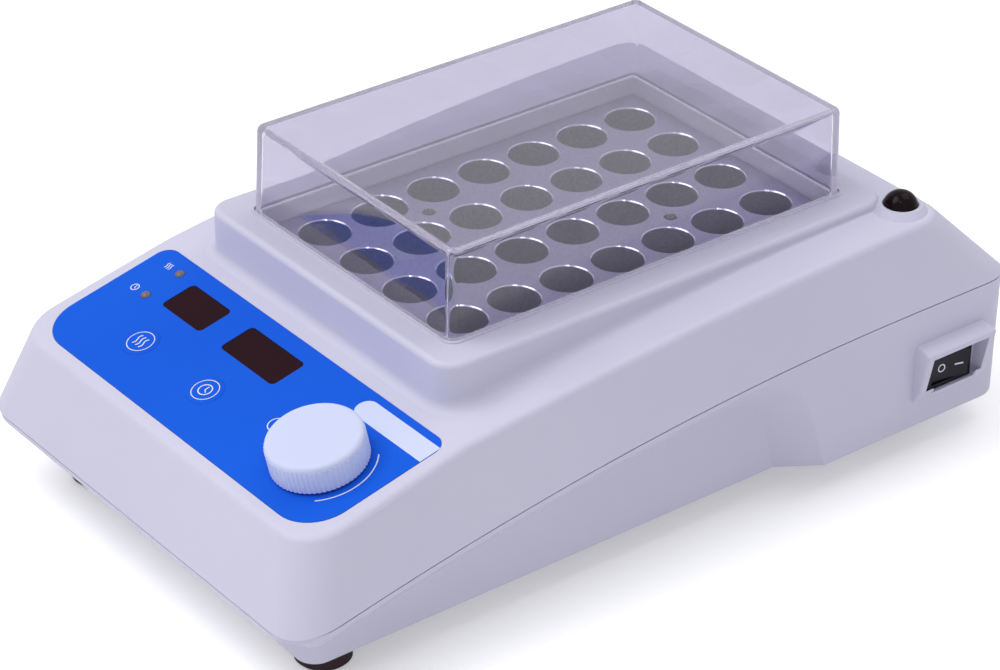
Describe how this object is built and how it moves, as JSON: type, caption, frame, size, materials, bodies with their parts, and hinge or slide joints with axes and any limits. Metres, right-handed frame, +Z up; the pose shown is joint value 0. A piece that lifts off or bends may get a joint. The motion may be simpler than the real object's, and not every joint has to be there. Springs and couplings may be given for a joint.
{
  "type": "dry bath incubator",
  "caption": "Bench dry bath incubator: sloping panel with knob and keys, heated aluminium tube block under a clear lid, side power switch and rear inlet.",
  "frame": {"origin": "centre of the four feet on the bench surface, on the instrument's middle plane", "axes": "+X to the power switch side, +Y to the rear away from the control panel, +Z up"},
  "size_m": [0.1815, 0.2911, 0.1155],
  "materials": {
    "housing_plastic": "fine textured moulded plastic",
    "block_aluminium": "bead blasted",
    "pan_aluminium": "satin",
    "clear_plastic": "clear polished",
    "overlay_blue": "satin printed film",
    "display_dark": "dark tinted window",
    "knob_plastic": "light moulded plastic",
    "key_blue": "printed film over a key cap",
    "led_smoke": "smoked diffuse lens",
    "lens_red": "dark red lens",
    "switch_black": "black moulded plastic",
    "foot_rubber": "dark rubber",
    "screw_steel": "zinc plated",
    "board_green": "solder mask",
    "part_black": "moulded electronics",
    "insulation_white": "felted fibre",
    "heater_orange": "polyimide film",
    "shaft_steel": "turned"
  },
  "bodies": {
    "bench": {"top_cover": "housing_plastic", "base_shell": "housing_plastic", "block_collar": "housing_plastic", "heating_pan": "pan_aluminium", "heater_film": "heater_orange", "clamp_plate": "pan_aluminium", "insulation_jacket": "insulation_white", "pan_legs": "screw_steel", "temperature_sensor": "screw_steel", "thermal_cutout": "part_black", "panel_overlay": "overlay_blue", "small_display_window": "display_dark", "large_display_window": "display_dark", "small_display_module": "part_black", "large_display_module": "part_black", "control_board": "board_green", "heat_led": "led_smoke", "timer_led": "led_smoke", "key_switches": "part_black", "encoder_body": "screw_steel", "lamp_lens": "lens_red", "lamp_led": "led_smoke", "switch_body": "switch_black", "power_inlet": "switch_black", "power_board": "board_green", "power_transformer": "part_black", "heater_relay": "part_black", "capacitors": "part_black", "rubber_feet": "foot_rubber", "foot_screws": "screw_steel", "cover_screws": "screw_steel", "board_screws": "screw_steel"},
    "block": {"tube_block": "block_aluminium"},
    "lid": {"clear_lid": "clear_plastic"},
    "plunger": {"encoder_plunger": "part_black"},
    "knob": {"control_knob": "knob_plastic", "encoder_shaft": "shaft_steel"},
    "heat_button": {"heat_key": "key_blue"},
    "timer_button": {"timer_key": "key_blue"},
    "rocker": {"switch_rocker": "switch_black"},
    "drawer": {"fuse_drawer": "switch_black"}
  },
  "joints": [
    {"name": "lid_lift", "type": "slide", "parent": "bench", "child": "lid", "axis": [0, 0, 1], "range_m": [0, 0.06]},
    {"name": "block_lift", "type": "slide", "parent": "bench", "child": "block", "axis": [0, 0, 1], "range_m": [0, 0.03]},
    {"name": "knob_push", "type": "slide", "parent": "bench", "child": "plunger", "axis": [0, 0.2307, -0.973], "range_m": [0, 0.0005], "stiffness_N_per_m": 4000, "springref_m": -0.0005},
    {"name": "knob_turn", "type": "hinge", "parent": "plunger", "child": "knob", "pos_m": [0.0504, -0.10732, 0.06016], "axis": [0, -0.2307, 0.973], "continuous": true},
    {"name": "heat_key_press", "type": "slide", "parent": "bench", "child": "heat_button", "axis": [0, 0.2307, -0.973], "range_m": [0, 0.0004], "stiffness_N_per_m": 3000, "springref_m": -0.0004},
    {"name": "timer_key_press", "type": "slide", "parent": "bench", "child": "timer_button", "axis": [0, 0.2307, -0.973], "range_m": [0, 0.0004], "stiffness_N_per_m": 3000, "springref_m": -0.0004},
    {"name": "rocker_tilt", "type": "hinge", "parent": "bench", "child": "rocker", "pos_m": [0.08585, 0.1182, 0.0302], "axis": [0, 0, 1], "range_deg": [0, 18]},
    {"name": "drawer_slide", "type": "slide", "parent": "bench", "child": "drawer", "axis": [0, 1, 0], "range_m": [0, 0.012]}
  ]
}
